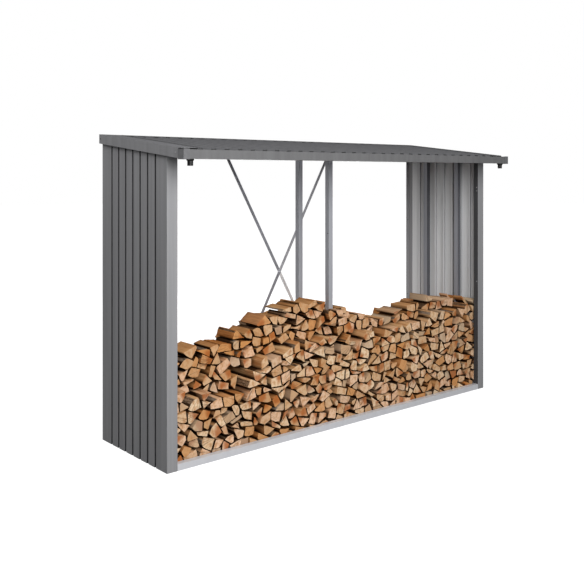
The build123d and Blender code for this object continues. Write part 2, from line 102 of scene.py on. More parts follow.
# Brace straps: dark and light screen colours above the crossing, and the colour below it, a painted
# reflection that makes the outer strap lighter and the inner one darker there
STRAPS = {
    "outer_strap_metal": ((146, 147, 154), (166, 167, 174), (252, 252, 254)),
    "inner_strap_metal": ((200, 201, 208), (222, 223, 229), (150, 151, 158))}
STRAP_METALLIC = 0.4
STRAP_FADE = 30 * MM

# Plastics: dark and light screen colours
PLASTICS = {
    "grey_plastic": ((90, 90, 92), (102, 102, 104)),
    "black_plastic": ((8, 8, 9), (14, 14, 15))}

# Faces with a finish of their own
FACING = 0.9
FLANK_FACING = 0.3
SIDE_FACING = 0.5
GROOVE_DEPTH = 5 * MM
LIP_REACH = 0.5 * MM

# Firewood
MERGE = 0.01 * MM
ROUND_CORNER = 138.0
ROUND_EASE_SHARE = 0.48
ROUND_STEPS = 4
SHARP_EASE_SHARE = 0.35
SHARP_EASE = (2.5 * MM, 9.0 * MM)
SHARP_STEPS = 2
EDGE_STEP = 8.5 * MM
RING_SHARES = (0.0, 0.008, 0.25, 0.5, 0.75, 0.992, 1.0)
CAP_SHARE = 0.58
ROUGH_CYCLES = (3, 5, 8, 13)
ROUGH = (0.8 * MM, 2.4 * MM)
TWIST_CYCLES = (2, 3)
TWIST = (0.0, 2.2 * MM)
FIBRE = 0.8 * MM
BARK_SCALE = 1.5 * MM
INSET = (0.6 * MM, 2.8 * MM)
RIM_EASE = (0.3 * MM, 1.0 * MM)
SAW_SLOPE = 0.04
SAW_MARK = 0.3 * MM
PITH_SHARES = (-0.1, 0.3)
INNER_PITH_SHARES = (0.2, 2.2)
GRAIN_SHIFT = 5.0
# Painted shade on log sides: how near another log must lie, and how far past its ends it reaches
GAP_SHADE_REACH = 20 * MM
GAP_SHADE_END = 6 * MM
# Painted shade on set-back logs: less pale wood, up to a share, from a setback behind the front row
SETBACK_START = 40 * MM
SHADED_SHARE = 0.6
LOG_SHARP_ANGLE = 38.0
END, SPLIT, BARK = range(3)
row_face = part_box("front_logs_1")[0].y

# Fixings: radius and reach of each turned one
SCREW_HEAD = ((4.5 * MM, 0.0), (4.5 * MM, 1.2 * MM), (3.2 * MM, 2.4 * MM), (1.2 * MM, 2.8 * MM))
BOLT_HEAD = ((7.5 * MM, 0.0), (7.5 * MM, 4.0 * MM), (6.3 * MM, 5.0 * MM))
WASHER_THICKNESS = 1.2 * MM
WASHER = ((9.0 * MM, 0.0), (9.0 * MM, WASHER_THICKNESS))
POST_HOLE = ((4.0 * MM, 0.0), (3.4 * MM, 0.3 * MM))
VERGE_HOLE = ((6.0 * MM, 0.0), (5.4 * MM, 0.3 * MM))
VERGE_SCREW_INSET = 28 * MM
VERGE_SCREW_DROP = 27 * MM
VERGE_HOLE_INSET = 18 * MM
VERGE_HOLE_DROP = 30 * MM
LIP_SCREW_SHARES = (0.47, 0.866, 0.881)
LIP_SCREW_INSET = 12 * MM
REAR_HOLE_SHARES = (0.35, 0.69)
POST_SHEET = 1.5 * MM
POST_HOLE_SHARE = 0.7
FIXING_SHARP_ANGLE = 35.0

# Small pieces of the roof and gutter
RIB_CORNERS = 4
CLOSER_SETBACK = 0.5 * MM
CLOSER_LENGTH = 20 * MM
CLOSER_BULGE = 3 * MM
CLOSER_INSET = 2 * MM
CLOSER_GAP = 0.2 * MM
VERGE_HEM = 3.5 * MM
VERGE_HEM_END = 45 * MM
VERGE_END_SHEET = 1.0 * MM
VERGE_END_SETBACK = 0.1 * MM
GUTTER_HEM = 2.2 * MM
GUTTER_HEM_INSET = 0.4 * MM
SEAM_HALF = 1 * MM
SEAM_PROUD = 0.4 * MM
HEM_SIDES = 12
SPOUT_NECK = 16.5 * MM
SPOUT_BORE = 13.5 * MM
SPOUT_FLANGE = 4 * MM
SPOUT_CONE = 1.5 * MM
SPOUT_CONE_END = 12 * MM
SPOUT_NECK_START = 13 * MM
SPOUT_RIBS = 3
SPOUT_RIB_START = 17 * MM
SPOUT_RIB_PITCH = 6 * MM
SPOUT_RIB = 1 * MM
SPOUT_SIDES = 28


def linear(red, green, blue):
    """Linear colour of a screen colour given from 0 to 255."""
    channels = []
    for value in (red, green, blue):
        share = value / 255
        channels.append(share / 12.92 if share <= 0.04045 else ((share + 0.055) / 1.055) ** 2.4)
    return (*channels, 1.0)


class Finish:
    """One procedural material, with short calls for the nodes that it uses."""

    def __init__(self, name, **sockets):
        self.material = bpy.data.materials.new(name)
        self.material.use_nodes = True
        self.tree = self.material.node_tree
        self.shader = self.tree.nodes["Principled BSDF"]
        for socket, value in sockets.items():
            self.shader.inputs[socket.replace("_", " ")].default_value = value

    def add(self, kind, inputs=None, **settings):
        node = self.tree.nodes.new(kind)
        for key, value in settings.items():
            setattr(node, key, value)
        for socket, value in (inputs or {}).items():
            if isinstance(value, bpy.types.NodeSocket):
                self.tree.links.new(value, node.inputs[socket])
            else:
                node.inputs[socket].default_value = value
        return node

    def surface(self, socket, value):
        self.tree.links.new(value, self.shader.inputs[socket])

    def place(self):
        return self.add("ShaderNodeNewGeometry").outputs["Position"]

    def attribute(self, name):
        return self.add("ShaderNodeAttribute", attribute_name=name)

    def math(self, operation, first, second=0.0):
        return self.add("ShaderNodeMath", {0: first, 1: second}, operation=operation).outputs[0]

    def vector(self, operation, first, second=(0.0, 0.0, 0.0)):
        return self.add("ShaderNodeVectorMath", {0: first, 1: second}, operation=operation)

    def scaled(self, place, scale):
        return self.vector("MULTIPLY", place, scale).outputs["Vector"]

    def noise(self, place, scale, detail=3.0, roughness=0.55):
        inputs = {"Vector": place, "Scale": scale, "Detail": detail, "Roughness": roughness}
        return self.add("ShaderNodeTexNoise", inputs).outputs["Fac"]

    def step(self, value, low, high, start=0.0, end=1.0):
        inputs = {"Value": value, "From Min": low, "From Max": high, "To Min": start, "To Max": end}
        return self.add("ShaderNodeMapRange", inputs, interpolation_type="SMOOTHSTEP").outputs["Result"]

    def mix(self, share, first, second):
        inputs = {0: share, 6: first, 7: second}
        return self.add("ShaderNodeMix", inputs, data_type="RGBA").outputs[2]

    def bump(self, height, distance, strength=1.0):
        inputs = {"Height": height, "Distance": distance, "Strength": strength}
        self.surface("Normal", self.add("ShaderNodeBump", inputs).outputs["Normal"])


# Finishes of the metal and plastic

def streaked(finish, dark, light, along=(22.0, 22.0, 0.7)):
    """Colour that runs between two greys in faint streaks, with fine flakes."""
    place = finish.place()
    streaks = finish.noise(finish.scaled(place, along), 1.0, 3.0)
    flakes = finish.noise(place, 900.0, 1.0)
    both = finish.math("ADD", finish.math("MULTIPLY", streaks, 0.8), finish.math("MULTIPLY", flakes, 0.2))
    share = finish.step(both, 0.22, 0.78)
    return finish.mix(share, dark, light), share, flakes


def plain_paint(name, dark, light, metallic, gloss):
    """Satin paint with faint upright streaks."""
    finish = Finish(name, Metallic=metallic, Specular_IOR_Level=gloss)
    colour, share, flakes = streaked(finish, dark, light)
    finish.surface("Base Color", colour)
    finish.surface("Roughness", finish.step(share, 0.0, 1.0, 0.54, 0.44))
    finish.bump(flakes, 0.03 * MM)
    return finish.material


def bare_metal(name, dark, light, metallic, reflection_below=None):
    """Dull metal with faint streaks, and another tone below the brace's crossing if one is given, as a
    painted reflection.
    """
    finish = Finish(name, Metallic=metallic)
    colour, share, flakes = streaked(finish, dark, light, (14.0, 14.0, 3.0))
    if reflection_below:
        low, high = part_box("brace_outer_strap")
        crossing = (low.z + high.z) / 2
        height = finish.add("ShaderNodeSeparateXYZ", {"Vector": finish.place()}).outputs["Z"]
        below = finish.step(height, crossing - STRAP_FADE, crossing + STRAP_FADE, 1.0, 0.0)
        colour = finish.mix(below, colour, reflection_below)
    finish.surface("Base Color", colour)
    finish.surface("Roughness", finish.step(share, 0.0, 1.0, 0.46, 0.34))
    finish.bump(flakes, 0.04 * MM)
    return finish.material


def plastic(name, dark, light):
    """Moulded plastic with a fine grain."""
    finish = Finish(name, Roughness=0.5)
    place = finish.place()
    blotches = finish.noise(place, 35.0, 3.0)
    grain = finish.noise(place, 1400.0, 2.0)
    finish.surface("Base Color", finish.mix(finish.step(blotches, 0.3, 0.7), dark, light))
    finish.surface("Roughness", finish.step(grain, 0.3, 0.7, 0.42, 0.58))
    finish.bump(grain, 0.08 * MM)
    return finish.material


def make_finishes():
    """All the finishes of the metal and plastic, by name."""
    finishes = {}
    for name, (dark, light, metallic, gloss) in PAINTS.items():
        finishes[name] = plain_paint(name, linear(*dark), linear(*light), metallic, gloss)
    for name, (dark, light, metallic) in METALS.items():
        finishes[name] = bare_metal(name, linear(*dark), linear(*light), metallic)
    for name, (dark, light, reflection_below) in STRAPS.items():
        finishes[name] = bare_metal(name, linear(*dark), linear(*light), STRAP_METALLIC, linear(*reflection_below))
    for name, (dark, light) in PLASTICS.items():
        finishes[name] = plastic(name, linear(*dark), linear(*light))
    return finishes


# Finishes of the firewood

def log_values(finish):
    """Place from the pith, and the log's own four random values, the first lowered on set-back logs as
    painted shade.
    """
    place = finish.attribute("pith").outputs["Vector"]
    tint = finish.attribute("tint")
    split = finish.add("ShaderNodeSeparateColor", {"Color": tint.outputs["Color"]})
    return place, split.outputs["Red"], split.outputs["Green"], split.outputs["Blue"], tint.outputs["Alpha"]


def species(finish, heart, wood, pink, orange):
    """Wood turned towards pink in some logs and towards orange in others."""
    kind = finish.math("FRACT", finish.math("MULTIPLY", heart, 7.0))
    wood = finish.mix(finish.step(kind, 0.12, 0.34, 0.7, 0.0), wood, pink)
    return finish.mix(finish.step(kind, 0.7, 0.95, 0.0, 0.7), wood, orange)


def painted_gap_shade(finish, wood):
    """Painted shade: wood that turns dark where the next log lies close against it."""
    cover = finish.attribute("cover").outputs["Fac"]
    return finish.mix(finish.math("MULTIPLY", cover, 0.95), wood, linear(34, 14, 3))


def drying_crack(finish, flat, radius, crack):
    """Lines that run out from the pith on the ends of some logs."""
    ray = finish.vector("NORMALIZE", flat).outputs["Vector"]
    shift = finish.math("MULTIPLY", crack, 40.0)
    turned = finish.vector("ADD", ray, finish.add("ShaderNodeCombineXYZ", {"Y": shift}).outputs["Vector"])
    split = finish.noise(turned.outputs["Vector"], 2.6, 1.0)
    near = finish.math("ABSOLUTE", finish.math("SUBTRACT", split, 0.5))
    line = finish.step(near, 0.004, 0.02, 1.0, 0.0)
    start = finish.step(radius, 6 * MM, 30 * MM)
    return finish.math("MULTIPLY", finish.math("MULTIPLY", line, start), finish.step(crack, 0.5, 0.8))


def end_grain():
    """Sawn end with year rings round the pith, a darker heart and drying cracks."""
    finish = Finish("end_grain", Specular_IOR_Level=0.05)
    place, pale, heart, grey, crack = log_values(finish)
    flat = finish.scaled(place, (1.0, 0.0, 1.0))
    radius = finish.vector("LENGTH", flat).outputs["Value"]
    wobble = finish.noise(flat, 30.0, 2.0)
    turns = finish.math("ADD", finish.math("MULTIPLY", radius, 1500.0), finish.math("MULTIPLY", wobble, 9.0))
    rings = finish.math("SINE", turns)
    speckle = finish.noise(flat, 420.0, 3.0)
    patches = finish.noise(flat, 38.0, 3.0)
    wood = finish.mix(pale, linear(192, 150, 107), linear(232, 206, 172))
    wood = species(finish, heart, wood, linear(228, 190, 160), linear(200, 134, 68))
    wood = finish.mix(finish.step(patches, 0.42, 0.68, 0.0, 0.75), wood, linear(184, 130, 82))
    size = finish.math("MULTIPLY", finish.math("SUBTRACT", heart, 0.35), 90 * MM)
    edge = finish.math("ADD", size, finish.math("MULTIPLY", wobble, 30 * MM))
    core = finish.math("SUBTRACT", edge, radius)
    wood = finish.mix(finish.step(core, -6 * MM, 28 * MM, 0.0, 0.8), wood, linear(162, 88, 36))
    wood = finish.mix(finish.step(rings, -0.2, 1.0, 0.0, 0.22), wood, linear(120, 76, 42))
    wood = finish.mix(finish.step(speckle, 0.5, 0.75, 0.0, 0.35), wood, linear(104, 66, 38))
    wood = finish.mix(finish.step(grey, 0.82, 1.0, 0.0, 0.6), wood, linear(178, 160, 136))
    line = drying_crack(finish, flat, radius, crack)
    wood = finish.mix(finish.math("MULTIPLY", line, 0.6), wood, linear(62, 38, 22))
    finish.surface("Base Color", wood)
    finish.surface("Roughness", finish.step(speckle, 0.3, 0.7, 0.75, 0.95))
    height = finish.math("SUBTRACT", finish.math("MULTIPLY", rings, 0.15), speckle)
    height = finish.math("SUBTRACT", height, finish.math("MULTIPLY", line, 2.0))
    finish.bump(height, 0.6 * MM)
    return finish.material


def split_face():
    """Torn face with fibres along the log."""
    finish = Finish("split_face", Specular_IOR_Level=0.0)
    place, pale, heart, grey, _ = log_values(finish)
    fibres = finish.noise(finish.scaled(place, (210.0, 7.0, 210.0)), 1.0, 3.0)
    bands = finish.noise(finish.scaled(place, (34.0, 3.0, 34.0)), 1.0, 3.0)
    wood = finish.mix(pale, linear(172, 120, 72), linear(216, 176, 130))
    wood = species(finish, heart, wood, linear(214, 172, 138), linear(178, 110, 54))
    wood = finish.mix(finish.step(bands, 0.4, 0.7, 0.0, 0.7), wood, linear(146, 90, 46))
    wood = finish.mix(finish.step(fibres, 0.45, 0.75, 0.0, 0.55), wood, linear(104, 62, 30))
    wood = finish.mix(finish.step(grey, 0.8, 1.0, 0.0, 0.7), wood, linear(184, 166, 142))
    finish.surface("Base Color", painted_gap_shade(finish, wood))
    finish.surface("Roughness", finish.step(fibres, 0.3, 0.7, 0.7, 0.92))
    finish.bump(finish.math("ADD", bands, finish.math("MULTIPLY", fibres, 0.6)), 1.6 * MM)
    return finish.material


def bark():
    """Brown or grey plates with dark furrows between them."""
    finish = Finish("bark", Specular_IOR_Level=0.0)
    place, pale, _, grey, _ = log_values(finish)
    plates = finish.noise(finish.scaled(place, (120.0, 13.0, 120.0)), 1.0, 4.0, 0.7)
    furrow = finish.step(plates, 0.4, 0.52)
    flecks = finish.noise(finish.scaled(place, (160.0, 60.0, 160.0)), 1.0, 4.0)
    skin = finish.mix(pale, linear(104, 78, 56), linear(150, 124, 98))
    skin = finish.mix(finish.step(flecks, 0.4, 0.7), skin, linear(84, 60, 42))
    skin = finish.mix(finish.step(grey, 0.5, 1.0, 0.0, 0.7), skin, linear(150, 142, 130))
    hollow = finish.math("MULTIPLY", finish.math("SUBTRACT", 1.0, furrow), 0.6)
    skin = finish.mix(hollow, skin, linear(56, 38, 26))
    finish.surface("Base Color", painted_gap_shade(finish, skin))
    finish.surface("Roughness", finish.step(flecks, 0.3, 0.7, 0.8, 0.97))
    finish.bump(finish.math("ADD", furrow, finish.math("MULTIPLY", flecks, 0.5)), 3.0 * MM)
    return finish.material


# Meshes and pieces

def add_piece(mesh):
    """Object on the part's body with a mesh and a material slot."""
    piece = bpy.data.objects.new(mesh.name, mesh)
    bpy.context.scene.collection.objects.link(piece)
    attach(piece, "root")
    return piece


def shade_smooth(mesh, sharp_angle):
    """Round shading, apart from edges where the faces turn by more than an angle."""
    mesh.polygons.foreach_set("use_smooth", np.ones(len(mesh.polygons), bool))
    mesh.set_sharp_from_angle(angle=math.radians(sharp_angle))


class Shape:
    """A mesh that grows from simple solids."""

    def __init__(self):
        self.vertices = []
        self.faces = []

    def between(self, *rings, closed=False):
        """Skin over rings of corners, with flat ends, or joined into a loop when closed."""
        start = len(self.vertices)
        count = len(rings[0])
        for ring in rings:
            self.vertices.extend(ring)
        for n in range(len(rings) if closed else len(rings) - 1):
            low = start + n * count
            high = start + (n + 1) % len(rings) * count
            for corner in range(count):
                following = (corner + 1) % count
                self.faces.append((low + corner, low + following, high + following, high + corner))
        if not closed:
            self.faces.append(tuple(range(start + count - 1, start - 1, -1)))
            self.faces.append(tuple(range(len(self.vertices) - count, len(self.vertices))))

    def block(self, outline, near, far):
        """Block with an outline of x and z, from one depth to another."""
        self.between([(x, near, z) for x, z in outline], [(x, far, z) for x, z in outline])

    def turned(self, place, direction, profile, sides=16, closed=False):
        """Round solid with a profile of radius and reach along a direction."""
        turn = Vector(direction).to_track_quat("Z", "Y")
        rings = []
        for radius, reach in profile:
            ring = []
            for side in range(sides):
                angle = 2 * math.pi * side / sides
                spot = Vector((radius * math.cos(angle), radius * math.sin(angle), reach))
                ring.append(Vector(place) + turn @ spot)
            rings.append(ring)
        self.between(*rings, closed=closed)

    def piece(self, name, finish, slot, smooth=False):
        mesh = bpy.data.meshes.new(name)
        mesh.from_pydata([tuple(vertex) for vertex in self.vertices], [], self.faces)
        mesh.materials.append(finish)
        if smooth:
            shade_smooth(mesh, FIXING_SHARP_ANGLE)
        return add_piece(mesh)


def rectangle(left, right, bottom, top):
    """Corners of a rectangle, in order round it."""
    return [(left, bottom), (right, bottom), (right, top), (left, top)]


def find_slope(node):
    """Rise of a roof panel for each metre towards the rear."""
    low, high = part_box(node)
    points = [vertex.co for vertex in nodes[node].data.vertices]
    front = max(point.z for point in points if point.y < low.y + END_REACH)
    rear = max(point.z for point in points if point.y > high.y - END_REACH)
    return (rear - front) / (high.y - low.y)


roof_slope = find_slope("roof_panel_1")


# Firewood

def read_logs(node):
    """Section, front and rear of each straight log in a node."""
    mesh = nodes[node].data
    points = np.empty(len(mesh.vertices) * 3)
    mesh.vertices.foreach_get("co", points)
    points = points.reshape(-1, 3)
    keys = np.round(points / MERGE).astype(np.int64)
    _, first, same = np.unique(keys, axis=0, return_index=True, return_inverse=True)
    same = same.reshape(-1)
    owner = list(range(len(first)))

    def root(spot):
        while owner[spot] != spot:
            owner[spot] = owner[owner[spot]]
            spot = owner[spot]
        return spot

    for polygon in mesh.polygons:
        corners = [root(same[corner]) for corner in polygon.vertices]
        for corner in corners[1:]:
            owner[root(corner)] = root(corners[0])
    groups = {}
    for spot, index in enumerate(first):
        groups.setdefault(root(spot), []).append(points[index])
    logs = []
    for group in groups.values():
        group = np.array(group)
        front = group[:, 1].min()
        rear = group[:, 1].max()
        section = group[group[:, 1] < (front + rear) / 2][:, (0, 2)]
        spokes = section - section.mean(0)
        logs.append((section[np.argsort(np.arctan2(spokes[:, 1], spokes[:, 0]))], front, rear))

    def place(log):
        section, front, _ = log
        return (*(round(value, PLACE_DIGITS) for value in section[0]), front)

    return sorted(logs, key=place)


def log_outline(section, rng):
    """Points round a log's end with eased corners, the way in from each, and which are bark."""
    count = len(section)
    before = np.roll(section, 1, 0) - section
    after = np.roll(section, -1, 0) - section
    before_length = np.linalg.norm(before, axis=1)
    after_length = np.linalg.norm(after, axis=1)
    before = before / before_length[:, None]
    after = after / after_length[:, None]
    angles = np.degrees(np.arccos(np.clip((before * after).sum(1), -1, 1)))
    soft = angles > ROUND_CORNER
    eases = []
    for n in range(count):
        shortest = min(before_length[n], after_length[n])
        if soft[n]:
            eases.append(ROUND_EASE_SHARE * shortest)
        else:
            eases.append(min(rng.uniform(*SHARP_EASE), SHARP_EASE_SHARE * shortest))
    points = []
    barked = []
    for n in range(count):
        start = section[n] + before[n] * eases[n]
        end = section[n] + after[n] * eases[n]
        steps = ROUND_STEPS if soft[n] else SHARP_STEPS
        for step in range(steps + 1):
            share = step / steps
            points.append(start * (1 - share) ** 2 + section[n] * 2 * share * (1 - share) + end * share ** 2)
            barked.append(bool(soft[n]))
        following = (n + 1) % count
        target = section[following] + before[following] * eases[following]
        pieces = int(np.linalg.norm(target - end) / EDGE_STEP)
        for piece in range(1, pieces):
            points.append(end + (target - end) * piece / pieces)
            barked.append(bool(soft[n] and soft[following]))
    points = np.array(points)
    along = np.roll(points, -1, 0) - np.roll(points, 1, 0)
    inward = np.stack((-along[:, 1], along[:, 0]), 1)
    lengths = np.linalg.norm(inward, axis=1)
    inward = inward / np.maximum(lengths, MERGE)[:, None]
    return points, inward, np.array(barked)


def wave(count, cycles, rng):
    """Smooth closed wave from 0 to 1 round an outline."""
    turn = np.linspace(0, 2 * math.pi, count, endpoint=False)
    total = np.zeros(count)
    for cycle in cycles:
        total += np.sin(cycle * turn + rng.uniform(0, 2 * math.pi)) / math.sqrt(cycle)
    return (total - total.min()) / max(total.max() - total.min(), MERGE)


def distances(points, section):
    """How far each point lies from a closed outline."""
    start = section[None, :, :]
    along = np.roll(section, -1, 0)[None, :, :] - start
    share = ((points[:, None, :] - start) * along).sum(2) / (along ** 2).sum(2)
    nearest = start + along * np.clip(share, 0, 1)[:, :, None]
    return np.linalg.norm(points[:, None, :] - nearest, axis=2).min(1)


def log_gap_shade(points, depths, others):
    """Painted shade for each ring along a log: 1 where another log lies close to the point and 0 where it is
    open.
    """
    cover = np.zeros((len(depths), len(points)))
    low = points.min(0) - GAP_SHADE_REACH
    high = points.max(0) + GAP_SHADE_REACH
    for section, front, rear in others:
        if (section.max(0) < low).any() or (section.min(0) > high).any():
            continue
        close = np.clip(2 - 2 * distances(points, section) / GAP_SHADE_REACH, 0, 1)
        beside = (depths > front - GAP_SHADE_END) & (depths < rear + GAP_SHADE_END)
        cover = np.maximum(cover, beside[:, None] * close[None, :])
    return cover


def log_rings(section, front, rear, outline, rng, dice):
    """Rings of points along a log, drawn in from its outline by its torn faces and its bark."""
    points, inward, barked = outline
    count = len(points)
    last = len(RING_SHARES) - 1
    rough = wave(count, ROUGH_CYCLES, rng) * rng.uniform(*ROUGH)
    fibre = dice.random(count) * FIBRE
    scale = dice.random((last + 1, count)) * BARK_SCALE
    twist = wave(count, TWIST_CYCLES, rng) * rng.uniform(*TWIST)
    inset = rng.uniform(*INSET)
    tilts = [(rng.uniform(-SAW_SLOPE, SAW_SLOPE), rng.uniform(-SAW_SLOPE, SAW_SLOPE)) for _ in range(2)]
    middle = section.mean(0)
    reach = np.abs(section - middle).max(0)
    margins = [abs(tilt[0]) * reach[0] + abs(tilt[1]) * reach[1] for tilt in tilts]
    rings = []
    for ring, share in enumerate(RING_SHARES):
        depth = inset + rough + twist * share + np.where(barked, scale[ring], fibre)
        if ring in (0, last):
            depth = depth + rng.uniform(*RIM_EASE)
        spots = points + inward * depth[:, None]
        spread = spots - middle
        near = front + margins[0] + spread @ np.array(tilts[0])
        far = rear - margins[1] - spread @ np.array(tilts[1])
        heights = np.maximum(spots[:, 1], 0.0)
        rings.append(np.stack((spots[:, 0], near + (far - near) * share, heights), 1))
    return rings


def log_sides(barked):
    """Faces between a log's rings, and the finish of each."""
    count = len(barked)
    faces = []
    kinds = []
    for ring in range(len(RING_SHARES) - 1):
        low = ring * count
        for n in range(count):
            following = (n + 1) % count
            faces.append((low + n, low + following, low + count + following, low + count + n))
            kinds.append(BARK if barked[n] and barked[following] else SPLIT)
    return faces, kinds


def log_caps(rings, dice):
    """Points and faces of a log's two sawn ends."""
    count = len(rings[0])
    points = []
    faces = []
    start = len(rings) * count
    for ring in (0, len(rings) - 1):
        rim = rings[ring]
        centre = rim.mean(0)
        inner = centre + (rim - centre) * CAP_SHARE
        inner[:, 1] += dice.normal(0.0, SAW_MARK, count)
        points.extend((inner, centre[None, :]))
        for n in range(count):
            following = (n + 1) % count
            outer = (ring * count + n, ring * count + following)
            core = (start + n, start + following)
            quad = (outer[1], outer[0], core[0], core[1])
            fan = (core[1], core[0], start + count)
            faces.extend((quad, fan) if ring == 0 else (quad[::-1], fan[::-1]))
        start += count + 1
    return points, faces


def log_pith(section, points, barked, rng):
    """Middle of the tree: across the log from its bark, or anywhere near a log without bark."""
    if barked.any():
        skin = points[barked].mean(0)
        pith = points[np.argmax(np.linalg.norm(points - skin, axis=1))]
        return pith + (pith - skin) * rng.uniform(*PITH_SHARES)
    middle = section.mean(0)
    return middle + (points[rng.randrange(len(points))] - middle) * rng.uniform(*INNER_PITH_SHARES)


def log_shape(section, front, rear, others, rng, dice):
    """Vertices, faces, face finishes, places from the pith, tint and painted gap shade of one split log."""
    outline = log_outline(section, rng)
    points, _, barked = outline
    rings = log_rings(section, front, rear, outline, rng, dice)
    faces, kinds = log_sides(barked)
    cap_points, cap_faces = log_caps(rings, dice)
    faces.extend(cap_faces)
    kinds.extend([END] * len(cap_faces))
    vertices = np.concatenate(rings + cap_points)
    depths = front + (rear - front) * np.array(RING_SHARES)
    cover = np.zeros(len(vertices))
    cover[:len(depths) * len(points)] = log_gap_shade(points, depths, others).ravel()
    pith = log_pith(section, points, barked, rng)
    places = vertices - np.array((pith[0], front - rng.uniform(0, GRAIN_SHIFT), pith[1]))
    # Logs set back behind the front row get less pale wood, as painted shade on the back tier.
    shaded = np.clip((front - row_face - SETBACK_START) / SETBACK_START, 0, 1)
    tint = (rng.random() * (1 - SHADED_SHARE * shaded), rng.random(), rng.random(), rng.random())
    return vertices, faces, kinds, places, tint, cover


def make_logs(node, stack, finishes, rng, dice):
    """All the logs of a node as one detailed mesh."""
    vertices = []
    faces = []
    kinds = []
    places = []
    tints = []
    gap_shades = []
    total = 0
    for section, front, rear in stack[node]:
        others = [log for logs in stack.values() for log in logs if log[0] is not section]
        shape, sides, side_kinds, from_pith, tint, cover = log_shape(section, front, rear, others, rng, dice)
        vertices.append(shape)
        faces.extend(tuple(corner + total for corner in side) for side in sides)
        kinds.extend(side_kinds)
        places.append(from_pith)
        tints.append(np.tile(tint, (len(shape), 1)))
        gap_shades.append(cover)
        total += len(shape)
    mesh = bpy.data.meshes.new(f"split_{node}")
    mesh.from_pydata(np.concatenate(vertices).tolist(), [], faces)
    for finish in finishes:
        mesh.materials.append(finish)
    mesh.polygons.foreach_set("material_index", kinds)
    for name, kind, field, values in (
            ("pith", "FLOAT_VECTOR", "vector", places),
            ("tint", "FLOAT_COLOR", "color", tints),
            ("cover", "FLOAT", "value", gap_shades)):
        mesh.attributes.new(name, kind, "POINT").data.foreach_set(field, np.concatenate(values).ravel())
    shade_smooth(mesh, LOG_SHARP_ANGLE)
    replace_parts(add_piece(mesh), node)


def make_firewood():
    """Split logs in place of the plain ones, all from one seed."""
    finishes = (end_grain(), split_face(), bark())
    rng = random.Random(SEED)
    dice = np.random.default_rng(SEED)
    stack = {node: read_logs(node) for node in sorted(slots) if slots[node] == "firewood"}
    for node in stack:
        make_logs(node, stack, finishes, rng, dice)


# Fixings

def make_screws(finish):
    """Small screws on the verges' outsides and the front posts' inner edges."""
    shape = Shape()
    for side, outward in SIDES.items():
        low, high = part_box(f"{side}_verge_trim")
        outside = low.x if side == "left" else high.x
        front_top = high.z - (high.y - low.y) * roof_slope
        place = (outside, low.y + VERGE_SCREW_INSET, front_top - VERGE_SCREW_DROP)
        shape.turned(place, (outward, 0, 0), SCREW_HEAD)
        low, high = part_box(f"{side}_front_post")
        lip = high.x if side == "left" else low.x
        for share in LIP_SCREW_SHARES:
            shape.turned((lip, low.y + LIP_SCREW_INSET, high.z * share), (-outward, 0, 0), SCREW_HEAD)
    shape.piece("screws", finish, "bare_metal", smooth=True)


def make_bolts(finish):
    """Flat heads at the back of the brace's crossing and ends, and a nut in front of the crossing."""
    shape = Shape()
    low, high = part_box("brace_inner_strap")
    rail_low, rail_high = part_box("base_rear_rail")
    foot = (rail_low.z + rail_high.z) / 2
    top_low, top_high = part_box("rear_top_rail")
    head = (top_low.z + top_high.z) / 2
    middle = (foot + head) / 2
    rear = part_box("brace_outer_strap")[1].y
    span = (high.x - low.x) / 2 * (head - foot) / (high.z - low.z)
    for x, z in ((0.0, middle), (-span, foot), (span, foot), (-span, head), (span, head)):
        shape.turned((x, rear, z), (0, 1, 0), WASHER)
    shape.turned((0.0, low.y, middle), (0, -1, 0), WASHER)
    shape.turned((0.0, low.y - WASHER_THICKNESS, middle), (0, -1, 0), BOLT_HEAD, sides=6)
    shape.piece("bolts", finish, "bare_metal")


def make_holes(finish):
    """Dark fixing holes in the rear corner posts, the front middle post and the verges: flat black discs,
    painted shade for the inside of each hole.
    """
    shape = Shape()
    for side in SIDES:
        low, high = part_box(f"{side}_rear_post")
        x = (low.x + high.x) / 2
        face = high.y - POST_SHEET
        for share in REAR_HOLE_SHARES:
            shape.turned((x, face, high.z * share), (0, -1, 0), POST_HOLE)
    low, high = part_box("centre_front_post")
    middle = (low.y + high.y) / 2
    post_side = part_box("centre_rafter")[0].x
    place = (post_side, middle + post_side / 2, high.z * POST_HOLE_SHARE)
    shape.turned(place, (-1, 0, 0), POST_HOLE)
    for side, outward in SIDES.items():
        low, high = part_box(f"{side}_verge_trim")
        outside = low.x if side == "left" else high.x
        place = (outside, high.y - VERGE_HOLE_INSET, high.z - VERGE_HOLE_DROP)
        shape.turned(place, (outward, 0, 0), VERGE_HOLE)
    shape.piece("holes", finish, "black_plastic")


# Small pieces of the roof and gutter

def make_rib_closers(finish):
    """Dark foam closers that fill the open front ends of the roof's ribs and bulge out of them, black also
    as painted shade for the dark rib ends.
    """
    shape = Shape()
    rise = CLOSER_LENGTH * roof_slope
    for node in sorted(slots):
        if not node.startswith("roof_panel"):
            continue
        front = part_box(node)[0].y
        corners = sorted({
            (round(vertex.co.x, PLACE_DIGITS), round(vertex.co.z, PLACE_DIGITS))
            for vertex in nodes[node].data.vertices if vertex.co.y < front + END_REACH})
        under = {}
        for x, z in corners:
            under[x] = min(z, under.get(x, z))
        line = sorted(under.items())[1:-1]
        for rib in range(0, len(line) - RIB_CORNERS + 1, RIB_CORNERS):
            outline = line[rib:rib + RIB_CORNERS]
            near = [(x, front + CLOSER_SETBACK, z - CLOSER_GAP) for x, z in outline]
            far = [(x, y + CLOSER_LENGTH, z + rise) for x, y, z in near]
            shape.between(near, far)
            left, bottom = outline[0]
            right = outline[-1][0]
            top = outline[1][1]
            bulge = rectangle(left + CLOSER_INSET, right - CLOSER_INSET, bottom, top)
            shape.block(bulge, front - CLOSER_BULGE, front - CLOSER_SETBACK)
    shape.piece("rib_closers", finish, "black_plastic")


